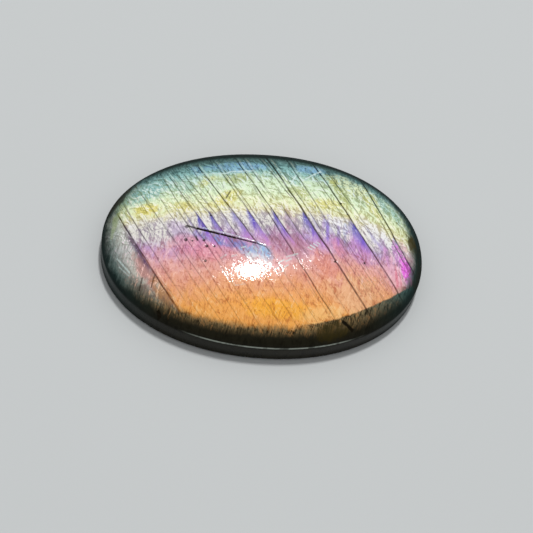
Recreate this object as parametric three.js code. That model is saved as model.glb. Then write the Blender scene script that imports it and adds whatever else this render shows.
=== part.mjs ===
// An oval labradorite cabochon: one polished stone with a domed face, a low side wall,
// softened edges and a flat ground back. It is cut by hand, so one end is a little broader.
// Millimetres, +Z up. The back rests on z = 0, the long axis is X and the origin is the
// middle of the back.
import * as THREE from "three";
import { mergeVertices } from "three/addons/utils/BufferGeometryUtils.js";

// Driving dimensions
const LENGTH = 41.0; // along X
const WIDTH = 28.6; // along Y
const WALL_HEIGHT = 3.1; // from the back to the edge where the dome starts
const DOME_RISE = 4.8; // from that edge to the top of the dome
const BACK_BEVEL = 0.4; // the ground bevel round the back, each way
const EDGE_RADIUS = 0.35; // the polished rounding between wall and dome

// The outline is a superellipse: 2 would be a plain ellipse, more is fuller at the corners.
const OUTLINE_FULLNESS = 2.1;
// How much broader the outline gets towards the +X end, as a share of its width there.
const END_BROADENING = 0.02;
// The dome's cross-section: a higher power is flatter on top and steeper at the shoulder.
const DOME_POWER = 2.3;
// The share of the full curve that the dome keeps, so that it meets the edge at a slope.
const SHOULDER_SHARE = 0.985;

// How finely the curves are cut into flat faces
const STEPS_ROUND = 96;
const STEPS_DOME = 22;
const STEPS_EDGE = 3;
const RINGS_BACK = 3;

const HALF_LENGTH = LENGTH / 2;
const HALF_WIDTH = WIDTH / 2;

// Height of the dome over its edge, from 1 at the middle (share 0) to 0 at the edge (share 1).
function domeCurve(share) {
  const full = (s) => Math.sqrt(1 - Math.pow(SHOULDER_SHARE * s, DOME_POWER));
  return (full(share) - full(1)) / (1 - full(1));
}

// The stone's section as if it were round, from the middle of the back to the top of the
// dome: x is the distance from the axis and y the height.
function section() {
  const points = [];
  const backRadius = HALF_LENGTH - BACK_BEVEL;
  for (let i = 0; i <= RINGS_BACK; i++) points.push(new THREE.Vector2((backRadius * i) / RINGS_BACK, 0));
  points.push(new THREE.Vector2(HALF_LENGTH, BACK_BEVEL));

  // The rounded edge is a short curve from the wall to where the dome's own curve starts.
  const domeStart = 1 - EDGE_RADIUS / HALF_LENGTH;
  const edge = new THREE.QuadraticBezierCurve(
    new THREE.Vector2(HALF_LENGTH, WALL_HEIGHT - EDGE_RADIUS),
    new THREE.Vector2(HALF_LENGTH, WALL_HEIGHT),
    new THREE.Vector2(HALF_LENGTH * domeStart, WALL_HEIGHT + DOME_RISE * domeCurve(domeStart)),
  );
  points.push(...edge.getPoints(STEPS_EDGE));

  // Equal turns of a quarter circle crowd the rings towards the steep shoulder.
  const firstTurn = Math.acos(domeStart);
  for (let i = 1; i <= STEPS_DOME; i++) {
    const turn = THREE.MathUtils.lerp(firstTurn, Math.PI / 2, i / STEPS_DOME);
    const share = i === STEPS_DOME ? 0 : Math.cos(turn);
    points.push(new THREE.Vector2(HALF_LENGTH * share, WALL_HEIGHT + DOME_RISE * domeCurve(share)));
  }
  return points;
}

// Distance from the axis to the oval outline in the direction of an angle, in mm.
function outlineRadius(angle) {
  const x = Math.abs(Math.cos(angle)) / HALF_LENGTH;
  const y = Math.abs(Math.sin(angle)) / HALF_WIDTH;
  return Math.pow(Math.pow(x, OUTLINE_FULLNESS) + Math.pow(y, OUTLINE_FULLNESS), -1 / OUTLINE_FULLNESS);
}

// Draws the round stone in to the oval outline, each point along its own radius, and then
// broadens the +X end.
function squeezeToOval(geometry) {
  const place = geometry.getAttribute("position");
  for (let i = 0; i < place.count; i++) {
    const radius = Math.hypot(place.getX(i), place.getY(i));
    const angle = Math.atan2(place.getY(i), place.getX(i));
    const share = outlineRadius(angle) / HALF_LENGTH;
    const x = Math.cos(angle) * radius * share;
    const y = Math.sin(angle) * radius * share;
    place.setXY(i, x, y * (1 + (END_BROADENING * x) / HALF_LENGTH));
  }
}

function cabochonGeometry() {
  const lathe = new THREE.LatheGeometry(section(), STEPS_ROUND);
  lathe.rotateX(Math.PI / 2); // the lathe turns about Y, and the stone stands along Z
  squeezeToOval(lathe);
  lathe.deleteAttribute("normal");
  lathe.deleteAttribute("uv");
  const closed = mergeVertices(lathe, 1e-3);
  closed.computeVertexNormals();
  return closed;
}

const labradorite = new THREE.MeshStandardMaterial({
  name: "labradorite",
  color: new THREE.Color(0.46, 0.42, 0.38),
  roughness: 0.12,
  metalness: 0,
});

const stone = new THREE.Group();
const cabochon = new THREE.Mesh(cabochonGeometry(), labradorite);
cabochon.name = "cabochon";
stone.add(cabochon);

export default stone;
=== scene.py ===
"""A polished labradorite cabochon with its flash, its cleavage lines and its wear."""
import math
from collections import namedtuple

import bmesh
import bpy
from mathutils import Matrix, Vector


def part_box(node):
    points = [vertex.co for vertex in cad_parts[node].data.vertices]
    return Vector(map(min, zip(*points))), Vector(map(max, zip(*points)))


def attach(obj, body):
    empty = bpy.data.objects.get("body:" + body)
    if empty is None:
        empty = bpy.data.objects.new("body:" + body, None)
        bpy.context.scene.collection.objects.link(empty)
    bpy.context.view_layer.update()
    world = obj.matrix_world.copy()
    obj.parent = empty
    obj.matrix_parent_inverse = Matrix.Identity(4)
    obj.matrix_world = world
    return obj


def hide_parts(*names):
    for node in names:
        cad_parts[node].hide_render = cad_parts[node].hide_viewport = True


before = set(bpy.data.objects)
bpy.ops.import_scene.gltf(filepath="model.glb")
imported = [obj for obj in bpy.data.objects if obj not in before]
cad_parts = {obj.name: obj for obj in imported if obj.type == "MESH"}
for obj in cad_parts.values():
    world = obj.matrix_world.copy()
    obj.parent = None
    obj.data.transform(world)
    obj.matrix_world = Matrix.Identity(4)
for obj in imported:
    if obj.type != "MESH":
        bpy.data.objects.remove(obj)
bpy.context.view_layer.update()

bl_info = {
    "name": "Labradorite cabochon",
    "version": (1, 0, 0),
    "blender": (4, 5, 0),
    "location": "View3D > Sidebar > Cabochon",
    "description": "Models a polished labradorite cabochon and a plain stage for it",
    "category": "Add Mesh",
}

MM = 0.001
NODE = "cabochon"
PIECE = "labradorite_cabochon"
LOW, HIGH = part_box(NODE)
LENGTH_MM = (HIGH[0] - LOW[0]) / MM
THICKNESS_MM = (HIGH[2] - LOW[2]) / MM

# The cleavage planes share one direction. Their place is given along it, in millimetres
# from the middle of the back, and the run along a plane is measured from there as well.
CLEAVAGE_NORMAL = Vector((0.801, 0.482, 0.355)).normalized()
CLEAVAGE_RUN = Vector((-0.482, 0.801, 0.0)).normalized()

# One cleavage line: its place where the run is 0, how far it leans in one millimetre of
# run, where the run starts and ends, half its width and how dark it is.
Line = namedtuple("Line", "at lean low high width depth")
LINES = tuple(Line(*row) for row in (
    (-13.4, 0.0, -3.5, 1.5, 0.13, 0.7),
    (-12.0, 0.0, -13.5, 13.0, 0.18, 1.0),
    (-10.7, 0.0, -3.5, 14.0, 0.13, 0.81),
    (-10.15, 0.0, -8.0, -2.0, 0.11, 0.67),
    (-8.5, -0.02, -9.0, 4.0, 0.11, 0.7),
    (-7.55, -0.045, -6.5, 14.0, 0.11, 0.75),
    (-6.4, 0.0, -10.0, 12.0, 0.11, 0.7),
    (-5.3, 0.0, 1.5, 8.5, 0.13, 0.78),
    (-4.75, 0.0, -11.5, 14.5, 0.12, 0.75),
    (-3.5, -0.03, -1.0, 14.5, 0.13, 0.81),
    (-2.5, 0.0, -13.0, -6.0, 0.11, 0.67),
    (-1.9, -0.08, -2.0, 14.0, 0.12, 0.73),
    (-1.35, -0.07, 4.0, 13.5, 0.12, 0.78),
    (-0.95, 0.0, -14.0, 14.0, 0.12, 0.75),
    (0.55, -0.05, -2.0, 14.0, 0.14, 0.89),
    (0.45, 0.0, -13.0, -4.0, 0.11, 0.7),
    (1.35, 0.0, -14.0, -2.0, 0.11, 0.73),
    (2.0, 0.0, 1.0, 13.5, 0.13, 0.81),
    (2.4, 0.0, -3.0, 11.0, 0.11, 0.73),
    (3.6, 0.045, -14.5, -6.0, 0.12, 0.73),
    (3.85, 0.033, -14.5, 4.0, 0.13, 0.87),
    (4.55, 0.0, -3.0, 13.0, 0.13, 0.89),
    (5.4, 0.0, 4.5, 12.5, 0.13, 0.78),
    (5.15, 0.0, -14.5, -10.0, 0.11, 0.67),
    (5.85, 0.0, -5.0, 3.0, 0.12, 0.7),
    (7.7, -0.055, 2.0, 12.0, 0.13, 0.81),
    (7.6, 0.0, 6.0, 11.5, 0.11, 0.73),
    (7.75, 0.026, -17.0, 12.5, 0.19, 1.0),
    (8.35, 0.03, -4.0, 10.0, 0.11, 0.73),
    (8.7, 0.0, -16.0, -6.0, 0.11, 0.64),
    (9.65, 0.045, -4.0, 10.5, 0.13, 0.78),
    (10.2, 0.025, -16.5, -2.0, 0.11, 0.67),
    (11.5, 0.11, -11.0, -6.0, 0.11, 0.67),
    (11.65, 0.0, -4.0, 6.5, 0.11, 0.73),
    (12.4, 0.03, -16.0, 8.0, 0.15, 0.95),
    (13.5, 0.0, -5.0, 6.0, 0.12, 0.7),
    (15.9, 0.095, -12.5, -4.0, 0.12, 0.75),
    (16.45, 0.1, -13.5, 6.0, 0.15, 0.95),
))

# A blue-violet wedge hangs on the lower side of some cleavage lines: the line's place and
# lean, the wedge's breadth and how strong it is.
Wedge = namedtuple("Wedge", "at lean breadth strength")
WEDGES = tuple(Wedge(*row) for row in (
    (-4.75, 0.0, 0.4, 0.45),
    (-3.5, -0.01, 0.9, 0.95),
    (-2.05, -0.03, 0.85, 0.9),
    (-0.95, 0.0, 1.0, 0.45),
    (0.5, -0.05, 1.15, 0.8),
    (2.0, 0.0, 1.1, 0.95),
    (4.55, 0.0, 0.85, 0.85),
    (5.85, 0.0, 0.8, 0.4),
    (7.75, 0.026, 1.25, 1.0),
    (8.35, 0.03, 0.5, 0.55),
    (9.65, 0.045, 0.9, 0.45),
    (12.4, 0.03, 1.5, 1.0),
    (13.5, 0.0, 0.6, 0.4),
    (16.45, 0.1, 0.8, 0.9),
))

# Flash colours by height on the stone, in millimetres up the band coordinate.
SOFT_BANDS = (
    (-12.5, "amber"), (-9.8, "amber"), (-8.0, "apricot"), (-6.0, "salmon"), (-4.0, "rose"),
    (-2.2, "mauve"), (-0.8, "lilac"), (0.6, "pearl"), (2.0, "pearl"), (2.9, "cream"),
    (4.2, "lime"), (6.2, "celadon"), (8.2, "sage"), (9.5, "aqua"), (10.6, "teal"), (11.8, "slate"),
)
VIVID_BANDS = (
    (-4.0, "rose"), (-2.2, "orchid"), (-0.2, "violet"),
    (1.7, "indigo"), (2.8, "indigo"), (3.6, "slate"),
)

# Creases are a darker, and glints a paler, sort of the flash that they lie in: painted shade and painted
# light on the crumpled folds.
CREASE_SHADE_BANDS = (
    (-10.0, "brown"), (-6.0, "russet"), (-2.5, "wine"), (0.3, "iris"),
    (1.8, "iris"), (3.4, "ochre"), (7.0, "moss"), (10.5, "pine"),
)
GLINT_BANDS = (
    (-10.0, "straw"), (-5.0, "shell"), (-2.0, "blossom"), (1.5, "milk"),
    (5.0, "ivory"), (8.6, "frost"), (10.2, "aqua"), (12.0, "teal"),
)
BAND_LOW = -14.0
BAND_HIGH = 14.0
# Where along the stone the bands stand highest
BAND_MIDDLE = 3.0

# Patches where the flash has another colour: the middle, the reach each way, the turn in
# degrees, the colour and how much of it shows.
Patch = namedtuple("Patch", "x y along across turn colour strength")
PATCHES = tuple(Patch(*row) for row in (
    (-15.2, 2.6, 1.5, 1.2, 5, "gold", 0.8),
    (-17.6, 4.6, 1.3, 0.9, 45, "olive", 0.65),
    (-15.0, 5.7, 3.3, 1.6, 22, "aqua", 0.95),
    (-11.5, 8.0, 3.0, 0.8, 20, "aqua", 0.6),
    (-10.4, 6.4, 2.4, 1.4, 25, "aqua", 0.55),
    (-8.9, 9.2, 1.1, 0.7, -60, "sky", 0.65),
    (-3.6, 10.0, 3.4, 1.1, 6, "sky", 0.9),
    (3.2, 9.0, 2.0, 1.0, -62, "aqua", 0.85),
    (5.9, 10.5, 2.2, 0.9, 0, "sky", 0.95),
    (-0.9, 10.2, 0.8, 0.6, 0, "sky", 0.8),
    (-7.0, 9.9, 1.5, 0.6, 20, "sky", 0.6),
    (-4.2, 7.7, 2.2, 0.8, 12, "olive", 0.5),
    (-8.0, 7.0, 1.6, 0.7, 40, "gold", 0.45),
    (-5.2, 4.4, 2.4, 1.0, 35, "gold", 0.65),
    (-10.6, 3.0, 1.6, 0.8, -10, "gold", 0.55),
    (4.2, 6.0, 1.6, 0.9, -20, "olive", 0.6),
    (11.2, 7.9, 3.6, 1.7, -28, "lime", 0.9),
    (9.6, 6.6, 2.8, 0.6, -62, "olive", 0.6),
    (8.6, 8.8, 1.6, 0.7, -50, "olive", 0.45),
    (13.7, 7.3, 2.0, 0.3, -62, "olive", 0.8),
    (7.6, 4.5, 2.6, 0.9, 0, "gold", 0.6),
    (13.6, 5.2, 2.2, 0.7, -62, "gold", 0.5),
    (15.3, 5.8, 1.6, 0.6, -65, "aqua", 0.7),
    (16.8, 4.6, 1.5, 0.6, -68, "aqua", 0.7),
    (8.4, 1.4, 2.0, 1.3, -10, "snow", 0.9),
    (14.0, 1.0, 2.8, 1.5, -42, "snow", 0.8),
    (14.9, -1.5, 1.9, 0.7, -75, "lilac", 0.75),
    (11.4, -1.7, 2.4, 1.2, -62, "orchid", 0.6),
    (8.9, -1.8, 1.8, 0.8, -70, "hot_pink", 0.45),
    (-13.6, -0.7, 4.4, 2.0, -16, "pearl", 0.8),
    (2.4, -2.0, 2.8, 2.1, -25, "dusk", 0.8),
    (2.7, 1.5, 2.4, 1.0, -62, "dusk", 0.5),
    (-11.2, -0.8, 2.0, 1.2, -60, "lilac", 0.6),
    (-8.6, -3.0, 4.2, 1.5, -14, "hot_pink", 0.55),
    (-5.6, -2.2, 3.4, 0.9, -17, "orchid", 0.55),
    (-5.3, -2.05, 4.0, 0.8, -15, "haze", 1.0),
    # These two cyan patches are a painted reflection: a pale blue halo over the upper side of the
    # highlight.
    (-0.8, -3.3, 1.6, 1.1, -35, "cyan", 0.85),
    (-2.4, -3.5, 1.6, 0.7, -20, "cyan", 0.55),
    (7.4, -4.6, 2.8, 1.4, -50, "coral", 0.5),
    (1.6, -10.6, 4.8, 1.2, -3, "saffron", 0.85),
    (11.4, -8.0, 4.0, 2.8, -12, "peach", 0.85),
    (18.0, -0.9, 1.8, 0.8, -60, "blush", 0.7),
    (15.9, -3.8, 2.8, 1.1, -74, "blush", 0.8),
    (17.3, -3.4, 2.3, 1.0, -68, "blossom", 0.9),
    (16.6, -1.7, 1.7, 0.45, -74, "orchid", 0.95),
    (17.6, -1.7, 2.6, 0.34, -57, "fuchsia", 1.0),
    (17.7, -3.2, 1.8, 0.6, -74, "fuchsia", 1.0),
    (15.2, -1.8, 1.8, 0.3, -80, "orchid", 0.7),
    (16.5, -4.6, 1.9, 0.22, -84, "hot_pink", 0.8),
    (17.0, -4.4, 1.3, 0.16, -80, "hot_pink", 0.6),
    (7.2, -10.9, 3.2, 1.3, 6, "straw", 0.55),
    (7.5, 0.6, 2.0, 0.28, 86, "violet", 0.75),
    (8.9, 0.0, 1.7, 0.25, 88, "violet", 0.55),
    (7.0, 1.2, 1.6, 0.25, 84, "lilac", 0.7),
    (9.8, 0.6, 1.8, 0.3, 88, "haze", 0.45),
    (1.6, -4.6, 2.0, 0.8, 26, "blossom", 0.35),
    # This snow patch is a painted highlight: a white haze just above the highlight.
    (-1.2, -4.4, 1.7, 0.8, -15, "snow", 0.65),
    (-14.9, -5.9, 3.0, 0.9, -58, "clay", 0.9),
    (-12.6, -9.0, 3.2, 0.8, -56, "bronze", 0.9),
    (-15.1, -8.4, 2.6, 1.0, -50, "taupe", 0.85),
))
# The same for the dark stone round the flash.
RIM_PATCHES = tuple(Patch(*row) for row in (
    (-18.9, 1.6, 2.2, 0.35, 80, "moss", 0.55),
    (-18.7, 5.2, 3.8, 0.7, 55, "rim_low", 0.8),
    (19.4, -2.0, 5.0, 1.3, -82, "rim_low", 0.5),
    (18.9, 0.9, 1.4, 0.7, -78, "bark", 0.85),
    (-18.1, -4.8, 2.6, 0.8, -60, "slate", 0.35),
    (8.2, -12.2, 2.2, 0.9, 16, "bark", 0.8),
))

# Cracks, slots and scratches in the surface: the two ends, half the width and the depth in
# millimetres, and how dark they are.
Cut = namedtuple("Cut", "x0 y0 x1 y1 width depth dark")
CUTS = tuple(Cut(*row) for row in (
    (-10.2, 0.1, -9.0, -0.3, 0.15, 0.06, 0.85),
    (-9.0, -0.3, -6.0, -1.1, 0.17, 0.09, 1.0),
    (-6.0, -1.1, -4.0, -1.6, 0.15, 0.09, 1.0),
    (-4.0, -1.6, -1.5, -2.2, 0.12, 0.07, 0.95),
    (-1.5, -2.2, -0.3, -2.6, 0.1, 0.05, 0.8),
    (-0.3, -2.6, 0.1, -3.3, 0.09, 0.04, 0.6),
    (-9.05, -1.4, -8.75, -2.1, 0.14, 0.05, 0.8),
    (9.4, -11.0, 10.9, -11.8, 0.22, 0.1, 1.0),
    (-13.2, -10.3, -12.9, -11.1, 0.24, 0.08, 1.0),
    (-15.3, -6.5, -15.6, -8.0, 0.12, 0.03, 0.7),
    (-13.8, -6.3, -14.2, -7.9, 0.1, 0.03, 0.6),
    (-4.7, 5.6, -5.3, 4.3, 0.12, 0.03, 0.7),
    (-10.3, 0.1, -10.0, -0.25, 0.25, 0.05, 0.7),
))

# Pale scratches and bright filaments, mostly painted glints of light on scratches, on the folds, along the
# crack's upper edge and round the highlight: the two ends, half the width and how pale they are.
Glint = namedtuple("Glint", "x0 y0 x1 y1 width pale")
GLINTS = tuple(Glint(*row) for row in (
    (-8.4, 8.65, -5.2, 8.55, 0.12, 0.5),
    (-5.2, 8.6, -4.6, 9.0, 0.13, 0.75),
    (-4.6, 9.0, -1.6, 9.3, 0.13, 0.7),
    (3.0, 7.2, 3.8, 9.0, 0.13, 0.8),
    (4.6, 8.1, 5.8, 9.2, 0.13, 0.8),
    (5.8, 9.2, 7.2, 10.4, 0.14, 0.85),
    (-9.6, 7.3, -8.5, 6.4, 0.12, 0.55),
    (-18.5, -3.6, -16.8, -5.8, 0.1, 0.5),
    (-18.2, -4.7, -16.9, -6.1, 0.09, 0.35),
    (4.9, -2.25, 5.5, -2.6, 0.11, 0.65),
    (5.2, -1.95, 5.9, -2.35, 0.11, 0.75),
    (5.6, -1.7, 6.2, -2.05, 0.11, 0.75),
    (6.0, -1.45, 6.5, -1.75, 0.11, 0.65),
    (0.9, -5.6, 1.5, -5.05, 0.13, 0.65),
    (1.9, -5.35, 2.5, -4.9, 0.12, 0.6),
    (1.2, -4.75, 2.0, -4.25, 0.13, 0.7),
    (2.1, -4.5, 2.9, -4.05, 0.12, 0.65),
    (2.2, -3.9, 3.7, -3.3, 0.13, 0.6),
    (1.1, -6.2, 1.7, -5.8, 0.11, 0.45),
    (-5.7, -6.0, -4.9, -7.0, 0.1, 0.4),
    (-4.1, -7.9, -2.8, -7.7, 0.1, 0.4),
    (-8.2, -0.22, -4.2, -1.26, 0.07, 0.6),
    (-4.2, -1.28, -1.6, -1.92, 0.07, 0.5),
    (-5.9, -4.5, -5.2, -3.95, 0.12, 0.55),
    (-3.4, -2.95, -2.8, -2.75, 0.11, 0.65),
    (-2.6, -3.9, -2.2, -3.4, 0.11, 0.6),
    (-4.6, -4.2, -3.9, -3.95, 0.11, 0.55),
    (-1.9, -2.6, -1.4, -3.4, 0.1, 0.65),
    (-1.6, -3.5, -1.1, -4.3, 0.1, 0.6),
    (-1.0, -2.9, -0.6, -3.7, 0.1, 0.5),
))

# Small pits: the middle and the radius in millimetres.
Pit = namedtuple("Pit", "x y radius")
PITS = tuple(Pit(*row) for row in (
    (-10.2, -1.95, 0.22),
    (-9.4, -2.1, 0.13),
    (-8.0, -2.0, 0.2),
    (-7.6, -2.85, 0.2),
    (-6.7, -2.85, 0.15),
    (-7.75, -4.85, 0.17),
    (-7.2, 1.6, 0.15),
    (8.35, -3.9, 0.16),
    (12.2, -3.55, 0.16),
    (9.4, 4.9, 0.18),
    (10.2, 3.3, 0.12),
))

# Lines darker than these are bold all along, or have a pale edge.
BOLD_DEPTH = 0.85
PALE_DEPTH = 0.74
# How far up the bands the wedges reach
WEDGE_TOP = 3.7
# The flash ends at about this share of the way from the middle to the outline.
FLASH_END = 0.93
# How high the fine bumps of the polish stand, in millimetres
BUMP_REACH = 0.016

# How deep the pits and the boldest lines are, in millimetres
PIT_DEPTH = 0.08
STEP_DEPTH = 0.02
# How much broader than its dark middle each groove or pit is
CUT_SPREAD = 1.8
STEP_SPREAD = 1.6
PIT_SPREAD = 1.5
# Nothing is sunk lower than this over the dome's edge, in millimetres.
WEAR_START = 0.2

# Steps round the polished edge, rings down the wall, and the places of the rings on the back
# as shares of its radius
EDGE_STEPS = 4
WALL_RINGS = 6
BACK_RINGS = (0.75, 0.5, 0.25, 0.05)

# The stage, in metres
FLOOR_HALF = 1.5
CAMERA_TARGET = Vector((0, 0, 0.003))
CAMERA_SHIFT = (0.0056, -0.0334)
LAMP_PLACE = Vector((0.032, 0.126, 0.6))
LAMP_TARGET = Vector((0, 0, 0.005))
LAMP_SIZE = (0.040, 0.094)


def linear(red, green, blue):
    """Turns an sRGB colour of 0 to 255 into the linear colour that a shader takes."""
    parts = [value / 255 for value in (red, green, blue)]
    return tuple(part / 12.92 if part <= 0.04045 else ((part + 0.055) / 1.055) ** 2.4 for part in parts)


def number(name, text, default, **more):
    return bpy.props.FloatProperty(name=name, description=text, default=default, **more)


def length(name, text, default):
    return number(name, text + ", in millimetres", default, min=0.0)


def angle(name, text, degrees):
    return number(name, text, math.radians(degrees), subtype="ANGLE")


def colour(name, text, red, green, blue):
    default = linear(red, green, blue)
    return bpy.props.FloatVectorProperty(
        name=name, description=text, default=default, size=3, min=0.0, max=1.0, subtype="COLOR")


class StoneSizes(bpy.types.PropertyGroup):
    """The cut of the stone"""

    length: length("Length", "Along the long axis", LENGTH_MM)
    width: length("Width", "Across the long axis, without the broadening", 28.6)
    thickness: length("Thickness", "From the back to the top of the dome", THICKNESS_MM)
    wall: length("Side wall", "Height of the side wall", 3.1)
    back_bevel: length("Back bevel", "Ground bevel round the back, each way", 0.4)
    edge_radius: length("Edge", "Polished rounding between the wall and the dome", 0.35)
    fullness: number("Fullness", "Power of the oval outline: 2 is a plain ellipse", 2.1)
    broadening: number("Broadening", "How much wider the +X end is, as a share", 0.02, subtype="FACTOR")
    dome_power: number("Dome power", "Power of the dome's section: more is flatter on top", 2.3)
    shoulder: number("Shoulder", "Share of the dome's full curve that is kept", 0.985, subtype="FACTOR")
    fineness: bpy.props.IntProperty(name="Fineness", description="Faces along half of the dome", default=78)


class StoneColours(bpy.types.PropertyGroup):
    """The colours of the flash and of the dark stone round it"""

    saffron: colour("Saffron", "Deepest flash, low on the dome", 255, 180, 56)
    amber: colour("Amber", "Flash low on the dome", 250, 174, 88)
    peach: colour("Peach", "Flash low on the right", 240, 184, 138)
    apricot: colour("Apricot", "Flash over the amber", 242, 170, 112)
    coral: colour("Coral", "Flash left of the longest cleavage line", 224, 128, 92)
    salmon: colour("Salmon", "Flash over the apricot", 234, 166, 142)
    rose: colour("Rose", "Flash over the salmon", 228, 168, 166)
    hot_pink: colour("Hot pink", "Flash under the left of the crack", 232, 134, 154)
    dusk: colour("Dusk", "Dull rose right of the crack", 176, 126, 150)
    mauve: colour("Mauve", "Flash over the rose", 208, 160, 190)
    lilac: colour("Lilac", "Flash over the mauve", 188, 158, 208)
    haze: colour("Haze", "Blue-violet flash under the crack", 112, 132, 200)
    # Cyan also paints the halo of reflected light above the highlight.
    cyan: colour("Cyan", "Flash at the right end of the crack", 136, 196, 236)
    indigo: colour("Indigo", "Top of the wedges", 50, 46, 176)
    violet: colour("Violet", "Middle of the wedges", 130, 94, 206)
    orchid: colour("Orchid", "Foot of the wedges", 206, 144, 206)
    fuchsia: colour("Fuchsia", "The wedge at the right end", 244, 110, 236)
    blush: colour("Blush", "Pale pink at the right end", 238, 180, 196)
    pearl: colour("Pearl", "Pale band over the lilac", 228, 225, 216)
    # Snow also paints the white haze above the highlight.
    snow: colour("Snow", "Whitest patch, near the right end", 240, 240, 242)
    cream: colour("Cream", "Pale yellow band", 232, 227, 186)
    gold: colour("Gold", "Yellow patches", 224, 210, 90)
    lime: colour("Lime", "Yellow-green band", 232, 240, 192)
    olive: colour("Olive", "Olive patches", 172, 176, 78)
    celadon: colour("Celadon", "Pale green band", 222, 242, 206)
    sage: colour("Sage", "Green band", 208, 230, 196)
    aqua: colour("Aqua", "Blue-green band", 146, 193, 190)
    sky: colour("Sky", "Blue patches", 138, 184, 216)
    teal: colour("Teal", "Dull blue band", 98, 138, 136)
    slate: colour("Slate", "Last of the flash at the top", 74, 102, 98)
    # Ash also paints the highlight along the polished edge.
    ash: colour("Ash", "Faded left end", 196, 204, 192)
    clay: colour("Clay", "Pink at the left end", 194, 138, 132)
    bronze: colour("Bronze", "Dull orange at the left end", 178, 122, 70)
    taupe: colour("Taupe", "Grey brown at the left end", 124, 106, 98)
    bark: colour("Bark", "Dark notch at the right end", 56, 48, 22)
    # Brown, russet, wine, iris, ochre, moss and pine paint the shade in the creases of the folds.
    brown: colour("Brown", "Creases in the amber", 196, 112, 44)
    russet: colour("Russet", "Creases in the salmon", 188, 102, 78)
    wine: colour("Wine", "Creases in the rose", 166, 92, 108)
    plum: colour("Plum", "Dark streak at the left end", 84, 52, 96)
    iris: colour("Iris", "Creases in the lilac", 146, 128, 150)
    ochre: colour("Ochre", "Creases in the yellow", 168, 152, 72)
    moss: colour("Moss", "Creases in the green", 134, 150, 96)
    pine: colour("Pine", "Creases in the blue", 52, 84, 84)
    straw: colour("Straw", "Glints in the amber", 255, 206, 140)
    shell: colour("Shell", "Glints in the salmon", 255, 206, 190)
    blossom: colour("Blossom", "Glints in the rose", 250, 210, 224)
    milk: colour("Milk", "Glints in the pearl", 240, 236, 240)
    ivory: colour("Ivory", "Glints in the yellow", 248, 248, 220)
    frost: colour("Frost", "Glints in the blue", 214, 234, 230)
    umber: colour("Umber", "Stone under the end of the flash", 142, 120, 82)
    rim_top: colour("Upper rim", "Dark stone at the top and the ends", 28, 42, 40)
    rim_low: colour("Lower rim", "Dark stone at the bottom", 36, 34, 25)
    crack: colour("Crack", "Inside of cracks and pits", 24, 20, 12)
    back: colour("Back", "The ground back", 78, 82, 76)


class StageSettings(bpy.types.PropertyGroup):
    """The camera, the lamp and the floor"""

    elevation: angle("Camera height", "Angle over the floor", 58.0)
    azimuth: angle("Camera turn", "Angle round the stone", -12.0)
    roll: angle("Camera roll", "Turn about its own axis", 13.6)
    distance: number("Camera distance", "From the camera to the stone", 0.2, unit="LENGTH")
    lens: number("Lens", "Focal length in millimetres", 106.4, unit="CAMERA")
    key_power: number("Key lamp", "Power of the overhead lamp", 2.0, unit="POWER")
    floor_colour: colour("Floor", "The plain floor", 196, 199, 199)


class Wire:
    """A shader socket that takes part in sums as a number does."""

    def __init__(self, paint, socket):
        self.paint = paint
        self.socket = socket

    def math(self, operation, *values):
        return self.paint.add("ShaderNodeMath", {"operation": operation}, *values)

    def __add__(self, other):
        return self.math("ADD", self, other)

    def __sub__(self, other):
        return self.math("SUBTRACT", self, other)

    def __rsub__(self, other):
        return self.math("SUBTRACT", other, self)

    def __mul__(self, other):
        return self.math("MULTIPLY", self, other)

    def __truediv__(self, other):
        return self.math("DIVIDE", self, other)

    def __pow__(self, other):
        return self.math("POWER", self, other)

    def __abs__(self):
        return self.math("ABSOLUTE", self)

    __radd__ = __add__
    __rmul__ = __mul__

    def times_plus(self, factor, more):
        return self.math("MULTIPLY_ADD", self, factor, more)

    def most(self, other):
        return self.math("MAXIMUM", self, other)

    def least(self, other):
        return self.math("MINIMUM", self, other)

    def ramp(self, low, high, start=0.0, end=1.0):
        """Goes smoothly from start at low to end at high and stays level outside them."""
        settings = {"interpolation_type": "SMOOTHSTEP", "clamp": False}
        return self.paint.add("ShaderNodeMapRange", settings, self, low, high, start, end)


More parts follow.
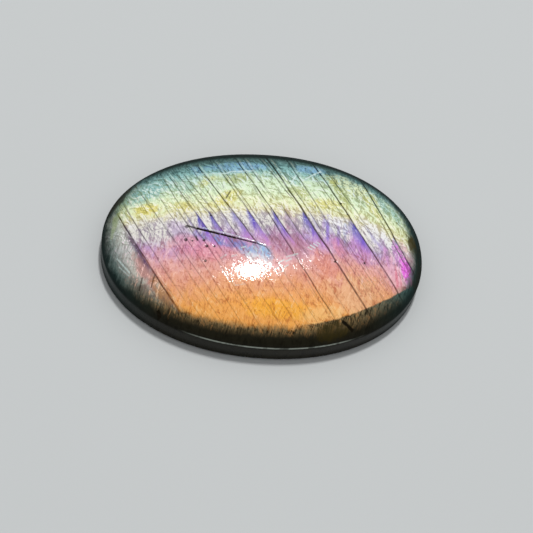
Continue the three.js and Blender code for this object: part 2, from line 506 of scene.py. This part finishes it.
class Paint:
    """Adds nodes to one node tree."""

    def __init__(self, tree):
        self.tree = tree

    def add(self, kind, settings, *values, output=0, **named):
        """Makes a node, sets it up, fills its sockets by order or name and gives an output."""
        node = self.tree.nodes.new(kind)
        for name, value in settings.items():
            if name == "stops":
                self.set_stops(node.color_ramp.elements, value)
            else:
                setattr(node, name, value)
        for key, value in [*enumerate(values), *named.items()]:
            self.fill(node.inputs[key], value)
        return Wire(self, node.outputs[output])

    def fill(self, socket, value):
        if isinstance(value, Wire):
            self.tree.links.new(value.socket, socket)
        elif value is not None:
            socket.default_value = value

    def set_stops(self, elements, stops):
        while len(elements) < len(stops):
            elements.new(1.0)
        for element, (place, shade) in zip(elements, stops):
            element.position = place
            element.color = (*shade, 1)

    def mix(self, factor, first, second):
        """Mixes two colours, each a wire or a linear colour."""
        node = self.tree.nodes.new("ShaderNodeMix")
        node.data_type = "RGBA"
        self.fill(node.inputs["Factor"], factor)
        for key, shade in (("A_Color", first), ("B_Color", second)):
            socket = next(item for item in node.inputs if item.identifier == key)
            self.fill(socket, shade if isinstance(shade, Wire) else (*shade, 1))
        return Wire(self, next(item for item in node.outputs if item.identifier == "Result_Color"))

    def vector(self, operation, first, second=None, output=0, **named):
        settings = {"operation": operation}
        return self.add("ShaderNodeVectorMath", settings, first, second, output=output, **named)

    def dot(self, first, second):
        return self.vector("DOT_PRODUCT", first, second, output="Value")

    def dim(self, shade, factor):
        return self.mix(factor, (0.0, 0.0, 0.0), shade)

    def bands(self, height, bands, colours):
        """The colour of a band at a height, from a list of heights and colour names."""
        span = BAND_HIGH - BAND_LOW
        stops = [((place - BAND_LOW) / span, getattr(colours, name)) for place, name in bands]
        return self.add("ShaderNodeValToRGB", {"stops": stops}, (height - BAND_LOW) / span)

    def noise(self, point, scale, detail=2.0, roughness=0.5, distortion=0.0, output=0):
        return self.add(
            "ShaderNodeTexNoise", {}, Vector=point, Scale=scale, Detail=detail, Roughness=roughness,
            Distortion=distortion, output=output)

    def spread(self, x, y, z=0.0):
        return self.add("ShaderNodeCombineXYZ", {}, x, y, z)

    def part(self, point, axis):
        return self.add("ShaderNodeSeparateXYZ", {}, point, output=axis)

    def moved(self, point, step=(0, 0, 0), turn=(0, 0, 0), scale=(1, 1, 1), kind="POINT"):
        return self.add("ShaderNodeMapping", {"vector_type": kind}, point, step, turn, scale)


class Place:
    """Where a point lies on the stone, in millimetres: plain, along the cleavage and by share."""

    def __init__(self, paint, sizes):
        self.paint = paint
        coordinates = paint.add("ShaderNodeTexCoord", {}, output="Object")
        self.point = paint.moved(coordinates, scale=(1 / MM, 1 / MM, 1 / MM))
        self.x, self.y, self.z = (paint.part(self.point, axis) for axis in range(3))
        self.flat = paint.spread(self.x, self.y)
        self.across = paint.dot(self.point, tuple(CLEAVAGE_NORMAL))
        self.run = paint.dot(self.point, tuple(CLEAVAGE_RUN))
        half = sizes.length / 2
        part_x = (abs(self.x) / half) ** sizes.fullness
        egg = self.x.times_plus(sizes.broadening / half, 1.0)
        part_y = (abs(self.y / egg) / (sizes.width / 2)) ** sizes.fullness
        self.share = (part_x + part_y) ** (1 / sizes.fullness)
        # The bands sag towards both ends, more on the right and more near the top.
        offset = self.x - BAND_MIDDLE
        bend = self.x.times_plus(0.00018, 0.0075) * self.y.times_plus(0.03, 1.0)
        self.band = (offset * offset).times_plus(bend, self.y)
        # The upper bands are crumpled like foil, and the lower ones are more fibrous.
        self.leafy = self.band.ramp(-2.0, 3.5)
        # The flash is faded left of the boldest cleavage line there.
        self.faded = self.across.ramp(-12.25, -11.95, 0.85, 0.0)

    def local(self, x, y, turn, along, across):
        """The two ways from a middle, along a turned line and across it, as shares of two reaches."""
        away = self.paint.vector("SUBTRACT", self.flat, (x, y, 0))
        cosine = math.cos(turn)
        sine = math.sin(turn)
        first = self.paint.dot(away, (cosine / along, sine / along, 0))
        second = self.paint.dot(away, (-sine / across, cosine / across, 0))
        return first, second

    def drawn_out(self, angle, stretch):
        """Coordinates turned so that Y, drawn out, runs along fibres at an angle."""
        turn = (0, 0, math.radians(angle - 90))
        return self.paint.moved(self.point, turn=turn, scale=(1, stretch, stretch), kind="TEXTURE")

    def sheets(self, across, run):
        """Coordinates whose X runs across the cleavage and whose Y runs along it."""
        upward = CLEAVAGE_NORMAL.cross(CLEAVAGE_RUN)
        turn = Matrix((CLEAVAGE_NORMAL, CLEAVAGE_RUN, upward)).transposed().to_euler()
        scale = (1 / across, 1 / run, 100.0)
        return self.paint.moved(self.point, turn=tuple(turn), scale=scale, kind="TEXTURE")


def threads(paint, drawn_out, scale, width):
    """Thin wandering fibres: 1 on a fibre and 0 beside it."""
    field = paint.noise(drawn_out, scale, 1.0, 0.4, 0.3)
    return abs(field - 0.5).ramp(0.0, width, 1.0, 0.0)


def foil(paint, place, scale):
    """Crumpled foil: how light each facet is, from one side to the other, as painted shading, and its
    creases.
    """
    bend = paint.noise(place.point, scale * 0.8, 2.0, 0.6, output="Color")
    crumpled = paint.vector("ADD", paint.vector("SCALE", bend, Scale=0.9 / scale), place.point)
    middle = paint.add("ShaderNodeTexVoronoi", {}, Vector=crumpled, Scale=scale, output="Position")
    away = paint.vector("SUBTRACT", crumpled, middle)
    slant = paint.dot(away, (0.5 * scale, 0.85 * scale, 0.0))
    gap = paint.add("ShaderNodeTexVoronoi", {"feature": "DISTANCE_TO_EDGE"}, Vector=crumpled, Scale=scale)
    return slant, gap.ramp(0.0, 0.09, 1.0, 0.0)


def relief(paint, point, scale, step):
    """The slope of a rough surface along a step, so it looks lit from one side."""
    here = paint.noise(point, scale, 3.0, 0.6, 0.8)
    there = paint.noise(paint.moved(point, step), scale, 3.0, 0.6, 0.8)
    return here - there


def crumple(paint, point, scale, step):
    """The slope of a sheet with sharp folds along a step, which paints it shaded on one side and lit on the
    other.
    """
    settings = {"noise_type": "RIDGED_MULTIFRACTAL"}
    inputs = dict(Scale=scale, Detail=3.0, Roughness=0.6, Distortion=0.5, Offset=0.9, Gain=1.6)
    here = paint.add("ShaderNodeTexNoise", settings, Vector=point, **inputs)
    return here - paint.add("ShaderNodeTexNoise", settings, Vector=paint.moved(point, step), **inputs)


def cleavage_lines(paint, place, across):
    """How dark the cleavage lines are, how pale their right-hand edges, and the faintest lines."""
    worn = paint.noise(place.sheets(1.5, 0.5), 1.0, 2.0, 0.6).ramp(0.3, 0.6, 0.65, 1.1)
    bold = 0.0
    fine = 0.0
    pale = 0.0
    for line in LINES:
        side = place.run.times_plus(-line.lean, across) - line.at
        middle = (line.low + line.high) / 2
        reach = (line.high - line.low) / 2
        shown = abs(place.run - middle).ramp(reach - 1.5, reach + 0.3, line.depth, 0.0)
        near = abs(side).ramp(0.25 * line.width, 0.9 * line.width, 1.0, 0.0)
        if line.depth > BOLD_DEPTH:
            bold = near.times_plus(shown, bold)
        else:
            fine = near.times_plus(shown, fine)
        if line.depth > PALE_DEPTH:
            edge = abs(side - 2.0 * line.width).ramp(0.0, line.width, 0.5, 0.0)
            pale = edge.times_plus(shown, pale)
    # Fainter parallel ones lie between them.
    sheet = paint.noise(place.sheets(1.0, 0.05), 1.4, 3.0, 0.6)
    faint = abs(sheet - 0.5).ramp(0.0, 0.022, 0.6, 0.0) * worn.ramp(0.6, 0.9)
    dark = (fine * worn).most(faint) * place.band.ramp(-7.0, 1.0, 0.45, 0.87)
    return dark.most(bold * worn * place.band.ramp(-4.0, 2.0, 0.80, 1.0)), pale * worn, faint


def violet_wedges(place, across, band, streak):
    """How vivid the flash is beside the cleavage lines, on their lower side."""
    vivid = 0.0
    top = WEDGE_TOP - band
    for wedge in WEDGES:
        depth = wedge.at - place.run.times_plus(-wedge.lean, across)
        under = depth.times_plus(-2.6 / wedge.breadth, top).ramp(0.0, 1.1)
        near = (depth + streak).ramp(wedge.breadth * 0.10, wedge.breadth * 1.25, wedge.strength, 0.0)
        ahead = depth.ramp(-0.05, 0.05)
        vivid = (under * near * ahead).most(vivid)
    return vivid * band.ramp(-4.5, -1.0) * place.run.ramp(-9.2, -8.0)


def patch_mask(place, patch, ragged):
    """How much of a patch shows: all in its middle and none past a soft ragged edge."""
    along, across = place.local(patch.x, patch.y, math.radians(patch.turn), patch.along, patch.across)
    return ((along * along).times_plus(1.0, across * across) + ragged).ramp(0.12, 1.45, patch.strength, 0.0)


def stroke_mask(place, stroke, strength, ragged):
    """How much of a stroke between two ends shows at a point."""
    turn = math.atan2(stroke.y1 - stroke.y0, stroke.x1 - stroke.x0)
    reach = math.hypot(stroke.x1 - stroke.x0, stroke.y1 - stroke.y0) / 2
    middle_x = (stroke.x0 + stroke.x1) / 2
    middle_y = (stroke.y0 + stroke.y1) / 2
    along, across = place.local(middle_x, middle_y, turn, reach, stroke.width)
    inside = abs(along).ramp(0.94, 1.04, strength, 0.0)
    return (abs(across) + ragged).ramp(0.5, 1.2, 1.0, 0.0) * inside


def wear_mask(paint, place, rough):
    """How dark the cuts and the pits make the surface."""
    wear = 0.0
    for cut in CUTS:
        wear = stroke_mask(place, cut, cut.dark, rough * 8.0).most(wear)
    for pit in PITS:
        away = paint.vector("DISTANCE", place.flat, (pit.x, pit.y, 0), output="Value")
        wear = (away + rough).ramp(pit.radius * 0.6, pit.radius * 1.3, 0.85, 0.0).most(wear)
    return wear


class Grain:
    """Noises that the painting functions share, most of them from about -0.5 to 0.5."""

    def __init__(self, paint, place):
        upright = place.drawn_out(82, 5.0)
        leaning = place.drawn_out(68, 5.0)
        self.fibre = paint.noise(upright, 2.4, 3.0, 0.65, 0.4) - 0.5
        self.streak = paint.noise(place.drawn_out(92, 7.0), 1.3, 3.0, 0.6, 0.3) - 0.5
        self.mottle = paint.noise(place.point, 0.8, 4.0, 0.6, 0.5) - 0.5
        self.rough = paint.noise(place.point, 3.0, 3.0, 0.6) - 0.5
        self.blotch = paint.noise(place.point, 0.75, 2.0, 0.6) - 0.5
        # Folds and combed are slopes: they paint shade and light on the texture as if it were lit from one
        # side.
        self.folds = crumple(paint, place.point, 0.75, (0.07, 0.06, 0.0))
        self.thread = threads(paint, upright, 1.3, 0.05).most(threads(paint, leaning, 1.2, 0.05))
        combed = relief(paint, upright, 2.0, (0.09, 0.0, 0.0)) * 2.1
        combed = combed + relief(paint, leaning, 1.6, (0.09, 0.0, 0.0)) * 1.9
        self.combed = combed + relief(paint, place.point, 2.2, (0.07, 0.05, 0.0)) * 1.1
        # The way across the cleavage, with the small wander that its lines have
        wander = paint.noise(place.point, 0.35, 1.0, 0.5)
        self.across = wander.times_plus(0.24, place.across) - 0.12


def add_patches(place, patches, ragged, colours, shade):
    for patch in patches:
        shade = place.paint.mix(patch_mask(place, patch, ragged), shade, getattr(colours, patch.colour))
    return shade


def flash_colour(paint, place, grain, colours):
    """The flash without its texture: its bands and its patches."""
    # Right of the longest cleavage line the low bands reach further up.
    right = place.across.ramp(7.5, 7.9)
    band = place.band + grain.fibre * place.x.ramp(-12.0, -7.0, 3.6, 1.4) + grain.mottle * 3.0
    band = band - right * band.ramp(-4.5, -1.5, 1.5, 0.0)
    shade = paint.mix(place.faded, paint.bands(band, SOFT_BANDS, colours), colours.ash)
    return add_patches(place, PATCHES, grain.mottle * 2.6 + grain.fibre * 1.5, colours, shade)


def add_wedges(paint, place, grain, colours, shade):
    """Adds the vivid flash by the cleavage lines, and says how much of the texture shows there."""
    vivid = violet_wedges(place, grain.across, place.band + grain.fibre * 1.2, grain.streak * 1.5)
    vivid = vivid * grain.streak.ramp(-0.25, 0.10, 1.0, 0.75)
    height = place.band + vivid * 1.6 + grain.fibre * 0.8 - 1.5
    vivid = (vivid * 1.10).least(1.0)
    shade = paint.mix(vivid, shade, paint.bands(height, VIVID_BANDS, colours))
    # A dark streak hangs on the lower side of the boldest line on the left.
    shadow = (place.across + grain.fibre * 0.5).ramp(-13.0, -12.1, 0.0, 0.95) * place.faded.ramp(0.0, 0.6)
    shade = paint.mix(shadow * abs(place.run - 5.6).ramp(2.0, 4.0, 1.0, 0.0), shade, colours.plum)
    return shade, vivid * -0.7 + 1.0


def flash_tone_and_shading(paint, place, grain):
    """How much paler, or darker where it is below 0, the texture makes the flash: painted light and shade
    on the slopes of the folds, with fibres and blotches.
    """
    leafy = place.leafy
    slant, shaded_creases = foil(paint, place, 1.2)
    foiled = grain.folds * 2.3 + slant * 0.50 - shaded_creases * 0.30 + grain.blotch * 0.9 + 0.10
    tone_and_shading = foiled * leafy.ramp(0.0, 1.0, 0.35, 1.1)
    tone_and_shading = tone_and_shading + grain.combed * leafy.ramp(0.0, 1.0, 0.70, 0.45) * place.faded.ramp(0.0, 0.8, 1.0, 1.7)
    crossing = threads(paint, place.drawn_out(112, 3.0), 1.1, 0.05)
    crossing = crossing.most(threads(paint, place.drawn_out(150, 2.0), 0.9, 0.04))
    shine = threads(paint, place.drawn_out(55, 3.0), 1.0, 0.05)
    tone_and_shading = tone_and_shading - grain.thread.most(crossing) * (leafy.ramp(0.0, 1.0, 0.28, 0.16) - grain.blotch * 0.6)
    tone_and_shading = tone_and_shading + shine * (0.20 + grain.blotch) + grain.blotch * leafy.ramp(0.0, 1.0, 0.6, 0.0)
    # Upright streaks darken the pale band and the right end.
    streaked = place.band.ramp(3.4, 2.0).most(place.x.ramp(7.0, 11.0, 0.0, 0.9))
    streaked = streaked * place.band.ramp(-2.5, 0.0)
    return tone_and_shading - (grain.streak.ramp(0.03, 0.2) * 0.75 + grain.thread * 0.40) * streaked


def flash_end(place, grain):
    """How far past the end of the flash a point lies, as a share, and how dark it is there."""
    corner = place.x.ramp(8.0, 18.0, 0.0, 0.016) * place.y.ramp(-3.0, 3.0)
    above = (place.y / 11.4).most(0.0) ** 3.5 * 0.095
    below = (place.y / -12.0).most(0.0) ** 3.0 * 0.055
    past = place.share + grain.fibre * 0.06 + grain.mottle * 0.05 - (FLASH_END - corner - above - below)
    # Low on the right the flash stops at a sharp edge that rises towards the end.
    beyond = (place.x - 1.0).most(0.0)
    short = (beyond * beyond).times_plus(0.0238, -12.3) - place.y + grain.fibre * 0.25 + grain.mottle * 0.4
    gate = place.x.ramp(3.0, 6.0)
    softness = place.y.ramp(4.0, 10.0, 0.035, 0.080) + place.x.ramp(-16.0, -10.0, 0.03, 0.0)
    dark = (past / softness).ramp(-1.0, 1.0).most(short.ramp(-0.12, 0.12) * gate)
    return past.most((short * 0.042 + gate) - 1.0), dark


def rim_colour(paint, place, grain, colours, past, tone_and_shading, lines):
    """The dark stone past the end of the flash: streaky at first and plain further out."""
    high = abs(place.x).times_plus(0.45, place.y).ramp(-7.0, 3.0)
    fade = (past / abs(place.y).times_plus(0.004, 0.045)).ramp(0.0, 1.0)
    outer = paint.mix(high, colours.rim_low, colours.rim_top)
    inner = paint.mix(high, colours.umber, colours.slate)
    # Part of these streaks is painted shade and light from the slopes of the folds.
    uneven = grain.fibre * 1.6 + grain.combed * 0.9 + grain.mottle * 1.6 - grain.thread * 0.3 + 0.9
    outer = paint.dim(outer, grain.fibre * 1.5 + grain.mottle + 0.9)
    edge = paint.mix(fade, paint.dim(inner, uneven), outer)
    streaky = (1.0 - fade) * (1.0 - high)
    edge = paint.mix((tone_and_shading * -1.0).ramp(0.0, 0.5, 0.0, 0.8) * streaky, edge, colours.crack)
    edge = paint.mix(tone_and_shading.ramp(0.0, 0.5, 0.0, 0.7) * streaky, edge, colours.bronze)
    return paint.mix(lines * (0.8 - fade * 0.5), edge, colours.crack)


def add_wear_and_glints(paint, place, grain, sizes, colours, shade):
    """Adds the edge's painted gleam, the scratches and painted glints, the cuts and the pits, and says how
    worn a point is.
    """
    # The polished edge over the wall catches the light as a thin broken line, which is a painted highlight
    # in the ash colour.
    front = abs(place.x - 1.0).ramp(7.0, 12.0, 0.75, 0.0) * place.y.ramp(-6.0, -4.0, 1.0, 0.0)
    gleam = abs(place.z - (sizes.wall - 0.05)).ramp(0.04, 0.17, 1.0, 0.0)
    shade = paint.mix(gleam * front * grain.mottle.ramp(-0.15, 0.05, 0.3, 1.0), shade, colours.ash)
    # Painted glints, some of them on real scratches, mixed in the frost colour.
    glints_and_scratches = 0.0
    for glint in GLINTS:
        glints_and_scratches = stroke_mask(place, glint, glint.pale, grain.rough).most(glints_and_scratches)
    shade = paint.mix(glints_and_scratches * grain.rough.ramp(-0.15, 0.05, 0.3, 1.0), shade, colours.frost)
    wear = wear_mask(paint, place, grain.rough * 0.12)
    return paint.mix(wear, shade, colours.crack), wear


def link_shaders(paint, face, shade, gloss, bump, dull):
    """Mixes the polished face with a duller shader, which the rim, the wall and the back show."""
    polished = {"Base Color": shade, "Roughness": gloss, "Specular IOR Level": 0.35, "Normal": bump}
    for name, value in polished.items():
        paint.fill(face.inputs[name], value)
    matt = {"Base Color": shade, "Roughness": 0.3, "Specular IOR Level": 0.0}
    side = paint.add("ShaderNodeBsdfPrincipled", {}, **matt)
    both = paint.add("ShaderNodeMixShader", {}, dull, Wire(paint, face.outputs[0]), side)
    paint.fill(paint.tree.nodes["Material Output"].inputs["Surface"], both)


def paint_stone(sizes, colours):
    """The stone's material: flash bands, cleavage lines, dark rim and ground back."""
    material = bpy.data.materials.new("polished_labradorite")
    material.use_nodes = True
    paint = Paint(material.node_tree)
    place = Place(paint, sizes)
    grain = Grain(paint, place)

    shade, shown = add_wedges(paint, place, grain, colours, flash_colour(paint, place, grain, colours))
    tone_and_shading = flash_tone_and_shading(paint, place, grain)
    # Painted shade where the folds slope away, in the crease colour, and painted light where they face it,
    # in the glint colour.
    crease_shade = paint.bands(place.band + grain.mottle * 2.0, CREASE_SHADE_BANDS, colours)
    crease_shade = paint.mix(place.faded, crease_shade, colours.taupe)
    shaded_creases = (tone_and_shading * -1.0).ramp(0.0, 0.85) * place.leafy.ramp(0.0, 1.0, 0.85, 0.68)
    shade = paint.mix(shaded_creases * place.faded.ramp(0.0, 1.0, 1.0, 0.6) * shown, shade, crease_shade)
    glint = paint.bands(place.band, GLINT_BANDS, colours)
    shade = paint.mix(tone_and_shading.ramp(0.0, 0.85, 0.0, 0.95) * shown, shade, glint)

    lines, pale, faint = cleavage_lines(paint, place, grain.across)
    upper = place.band.ramp(-3.0, 2.0, 0.15, 0.45)
    shade = paint.mix((pale * upper).least(1.0), shade, colours.ivory)
    shade = paint.mix(lines.least(0.96), shade, paint.dim(crease_shade, 0.20))

    past, ended = flash_end(place, grain)
    shade = paint.mix(ended, shade, rim_colour(paint, place, grain, colours, past, tone_and_shading, lines))
    shade = add_patches(place, RIM_PATCHES, grain.mottle * 2.6 + grain.fibre * 3.0, colours, shade)
    shade, wear = add_wear_and_glints(paint, place, grain, sizes, colours, shade)

    # The back and its bevel are ground matt, and show no flash.
    under = place.z.ramp(sizes.back_bevel - 0.10, sizes.back_bevel + 0.02, 1.0, 0.0)
    uneven = grain.mottle * 1.2 + grain.rough * 0.5 - faint * 0.35 + 0.95
    shade = paint.mix(under, shade, paint.dim(colours.back, uneven))

    gloss = (grain.fibre * 0.15 + grain.rough * 0.15 + 0.08).most(0.05)
    waves = paint.noise(place.point, 1.9, 2.0, 0.5)
    height = grain.folds * 0.25 + waves * 0.9 + grain.rough * 0.25 - lines * 0.5 - wear * 1.2
    bump = paint.add("ShaderNodeBump", {}, Strength=1.0, Distance=BUMP_REACH * MM, Height=height)
    # The rim, the wall and the back are less bright in their polish.
    wall = place.z.ramp(sizes.wall - 0.4, sizes.wall, 0.25, 0.0) - under * 0.25
    dull = past.ramp(-0.07, 0.02, 0.0, 0.92).most(wear * 0.9).most(lines * 0.7).most(under) - wall
    link_shaders(paint, material.node_tree.nodes["Principled BSDF"], shade, gloss, bump, dull)
    return material


def dome_curve(sizes, share):
    """Height of the dome over its edge: 1 at the middle, 0 at the edge."""
    def full(part):
        return math.sqrt(1 - (sizes.shoulder * part) ** sizes.dome_power)
    return (full(share) - full(1)) / (1 - full(1))


def outline_radius(sizes, angle):
    """Distance from the middle to the oval outline, in millimetres."""
    along = abs(math.cos(angle)) / (sizes.length / 2)
    across = abs(math.sin(angle)) / (sizes.width / 2)
    return (along ** sizes.fullness + across ** sizes.fullness) ** (-1 / sizes.fullness)


def squeeze_to_oval(sizes, mesh):
    """Turns the round blank, whose radius is 1, into the oval stone."""
    for vert in mesh.verts:
        radius = math.hypot(vert.co.x, vert.co.y)
        angle = math.atan2(vert.co.y, vert.co.x)
        reach = outline_radius(sizes, angle) * radius
        x = math.cos(angle) * reach
        y = math.sin(angle) * reach
        vert.co.x = x
        vert.co.y = y * (1 + sizes.broadening * x / (sizes.length / 2))


def round_dome(sizes, mesh, edge_share):
    """Half a cube is pulled out to a dome over a disc, so no faces crowd at a pole."""
    bmesh.ops.create_cube(mesh, size=2)
    bmesh.ops.subdivide_edges(mesh, edges=mesh.edges[:], cuts=2 * sizes.fineness - 1, use_grid_fill=True)
    everything = mesh.verts[:] + mesh.edges[:] + mesh.faces[:]
    bmesh.ops.bisect_plane(
        mesh, geom=everything, dist=1e-5, plane_co=(0, 0, 0), plane_no=(0, 0, 1), clear_inner=True)
    rise = sizes.thickness - sizes.wall
    for vert in mesh.verts:
        way = Vector([math.tan(value * math.pi / 4) for value in vert.co]).normalized()
        share = math.acos(min(1.0, max(0.0, way.z))) / (math.pi / 2) * edge_share
        angle = math.atan2(way.y, way.x)
        height = sizes.wall + rise * dome_curve(sizes, share)
        vert.co = (math.cos(angle) * share, math.sin(angle) * share, height)


def add_ring(mesh, rim, radius, height):
    """Extrudes the open rim to a new radius and height and gives the new rim back."""
    made = bmesh.ops.extrude_edge_only(mesh, edges=rim)["geom"]
    for vert in (item for item in made if isinstance(item, bmesh.types.BMVert)):
        scale = radius / math.hypot(vert.co.x, vert.co.y)
        vert.co = (vert.co.x * scale, vert.co.y * scale, height)
    return [item for item in made if isinstance(item, bmesh.types.BMEdge)]


def blend_points(start, control, end, steps):
    """Points on the curve that rounds a corner, without its first."""
    for step in range(1, steps + 1):
        share = step / steps
        yield start.lerp(control, share).lerp(control.lerp(end, share), share)


def hollow(distance, half_width, depth):
    """Depth of a rounded groove or pit at a distance from its middle."""
    return depth * max(0.0, 1 - (distance / half_width) ** 2) ** 2


def wear_depth(point):
    """How deep the cuts, the pits and the boldest cleavage lines are at a point, in millimetres."""
    depth = 0.0
    flat = point.to_2d()
    for cut in CUTS:
        start = Vector((cut.x0, cut.y0))
        way = Vector((cut.x1, cut.y1)) - start
        share = min(1.0, max(0.0, (flat - start).dot(way) / way.length_squared))
        side = (flat - start - way * share).length
        depth = max(depth, hollow(side, CUT_SPREAD * cut.width, cut.depth))
    for pit in PITS:
        away = math.hypot(flat.x - pit.x, flat.y - pit.y)
        depth = max(depth, hollow(away, PIT_SPREAD * pit.radius, PIT_DEPTH))
    run = point.dot(CLEAVAGE_RUN)
    for line in LINES:
        if line.depth > BOLD_DEPTH and line.low < run < line.high:
            side = abs(point.dot(CLEAVAGE_NORMAL) - line.at - line.lean * run)
            depth = max(depth, hollow(side, STEP_SPREAD * line.width, STEP_DEPTH))
    return depth


def wear_surface(mesh, low):
    """Sinks the cuts, the pits and the boldest cleavage lines into the dome."""
    for vert in mesh.verts:
        if vert.co.z > low:
            vert.co.z -= wear_depth(vert.co)


def sharpen(edges):
    for edge in edges:
        edge.smooth = False


def add_wall(sizes, mesh, rim, start):
    """Carries the rim round the polished edge and down the wall."""
    control = Vector((1.0, sizes.wall))
    end = Vector((1.0, sizes.wall - sizes.edge_radius))
    for point in blend_points(start, control, end, EDGE_STEPS):
        rim = add_ring(mesh, rim, point.x, point.y)
    for step in range(1, WALL_RINGS + 1):
        rim = add_ring(mesh, rim, 1.0, end.y + (sizes.back_bevel - end.y) * step / WALL_RINGS)
    return rim


def close_back(sizes, mesh, rim):
    """Closes the stone with the back bevel and the flat back."""
    sharpen(rim)
    back_edge = 1 - sizes.back_bevel / (sizes.length / 2)
    rim = add_ring(mesh, rim, back_edge, 0.0)
    sharpen(rim)
    for share in BACK_RINGS:
        rim = add_ring(mesh, rim, back_edge * share, 0.0)
    bmesh.ops.holes_fill(mesh, edges=rim)


def build_stone(sizes):
    """Models the whole stone as one closed mesh, in metres."""
    mesh = bmesh.new()
    edge_share = 1 - sizes.edge_radius / (sizes.length / 2)
    round_dome(sizes, mesh, edge_share)
    rim = [edge for edge in mesh.edges if edge.is_boundary]
    rise = (sizes.thickness - sizes.wall) * dome_curve(sizes, edge_share)
    start = Vector((edge_share, sizes.wall + rise))
    close_back(sizes, mesh, add_wall(sizes, mesh, rim, start))
    squeeze_to_oval(sizes, mesh)
    wear_surface(mesh, start.y + WEAR_START)
    for face in mesh.faces:
        face.smooth = True
    bmesh.ops.recalc_face_normals(mesh, faces=mesh.faces[:])
    bmesh.ops.scale(mesh, vec=(MM, MM, MM), verts=mesh.verts[:])
    return mesh


def new_object(name, mesh, material):
    """Turns a bmesh into an object at the origin with one material."""
    data = bpy.data.meshes.new(name)
    mesh.to_mesh(data)
    mesh.free()
    data.materials.append(material)
    made = bpy.data.objects.new(name, data)
    bpy.context.scene.collection.objects.link(made)
    return made


class MakeStone(bpy.types.Operator):
    """Models the cabochon in place of its plain solid"""

    bl_idname = "cabochon.make_stone"
    bl_label = "Stone"

    def execute(self, context):
        sizes = context.scene.stone_sizes
        stone = new_object(PIECE, build_stone(sizes), paint_stone(sizes, context.scene.stone_colours))
        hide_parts(NODE)
        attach(stone, "root")
        return {"FINISHED"}


def add_camera(stage):
    """Adds the camera at its angles round the stone."""
    flat = math.cos(stage.elevation)
    cosine = math.cos(stage.azimuth)
    sine = math.sin(stage.azimuth)
    back = Vector((sine * flat, -cosine * flat, math.sin(stage.elevation)))
    right = Vector((cosine, sine, 0))
    up = back.cross(right)
    rolled_right = right * math.cos(stage.roll) + up * math.sin(stage.roll)
    rolled_up = up * math.cos(stage.roll) - right * math.sin(stage.roll)
    data = bpy.data.cameras.new("camera")
    data.lens = stage.lens
    data.sensor_width = 36.0
    data.shift_x, data.shift_y = CAMERA_SHIFT
    data.clip_start = 0.01
    camera = bpy.data.objects.new("camera", data)
    turn = Matrix((rolled_right, rolled_up, back)).transposed().to_4x4()
    camera.matrix_world = Matrix.Translation(CAMERA_TARGET + back * stage.distance) @ turn
    bpy.context.scene.collection.objects.link(camera)
    bpy.context.scene.camera = camera


def add_lamp(power):
    """Adds the lamp whose reflection is the highlight on the dome."""
    data = bpy.data.lights.new("key_lamp", "AREA")
    data.shape = "ELLIPSE"
    data.size, data.size_y = LAMP_SIZE
    data.energy = power
    lamp = bpy.data.objects.new("key_lamp", data)
    lamp.location = LAMP_PLACE
    lamp.rotation_euler = (LAMP_PLACE - LAMP_TARGET).to_track_quat("Z", "Y").to_euler()
    bpy.context.scene.collection.objects.link(lamp)


def plain_material(name, shade, roughness):
    material = bpy.data.materials.new(name)
    material.use_nodes = True
    shader = material.node_tree.nodes["Principled BSDF"]
    shader.inputs["Base Color"].default_value = (*shade, 1)
    shader.inputs["Roughness"].default_value = roughness
    return material


def make_world():
    """A soft sky: bright overhead and dim towards the horizon."""
    world = bpy.data.worlds.new("world")
    world.use_nodes = True
    paint = Paint(world.node_tree)
    way = paint.add("ShaderNodeTexCoord", {}, output="Generated")
    stops = [
        (0.0, (0.05, 0.05, 0.05)),
        (0.25, (0.08, 0.08, 0.09)),
        (0.60, (0.52, 0.53, 0.54)),
        (1.0, (0.70, 0.70, 0.70)),
    ]
    sky = paint.add("ShaderNodeValToRGB", {"stops": stops}, paint.part(way, 2))
    paint.fill(world.node_tree.nodes["Background"].inputs["Color"], sky)
    return world


class MakeStage(bpy.types.Operator):
    """Adds the camera, the soft light and the plain floor"""

    bl_idname = "cabochon.make_stage"
    bl_label = "Stage"

    def execute(self, context):
        stage = context.scene.stage_settings
        mesh = bmesh.new()
        bmesh.ops.create_grid(mesh, x_segments=1, y_segments=1, size=FLOOR_HALF)
        new_object("floor", mesh, plain_material("floor", stage.floor_colour, 0.8))
        add_camera(stage)
        add_lamp(stage.key_power)
        context.scene.world = make_world()
        context.scene.view_settings.view_transform = "Standard"
        return {"FINISHED"}


class CabochonPanel(bpy.types.Panel):
    """Lists the making of the stone and its stage"""

    bl_idname = "VIEW3D_PT_cabochon"
    bl_label = "Cabochon"
    bl_space_type = "VIEW_3D"
    bl_region_type = "UI"
    bl_category = "Cabochon"

    def draw(self, context):
        for maker in (MakeStone, MakeStage):
            self.layout.operator(maker.bl_idname)


SETTINGS = {"stone_sizes": StoneSizes, "stone_colours": StoneColours, "stage_settings": StageSettings}
CLASSES = (*SETTINGS.values(), MakeStone, MakeStage, CabochonPanel)


def register():
    for item in CLASSES:
        bpy.utils.register_class(item)
    for name, kind in SETTINGS.items():
        setattr(bpy.types.Scene, name, bpy.props.PointerProperty(type=kind))


def unregister():
    for name in SETTINGS:
        delattr(bpy.types.Scene, name)
    for item in reversed(CLASSES):
        bpy.utils.unregister_class(item)


def main():
    register()
    bpy.ops.cabochon.make_stone()
    bpy.ops.cabochon.make_stage()


if __name__ == "__main__":
    main()
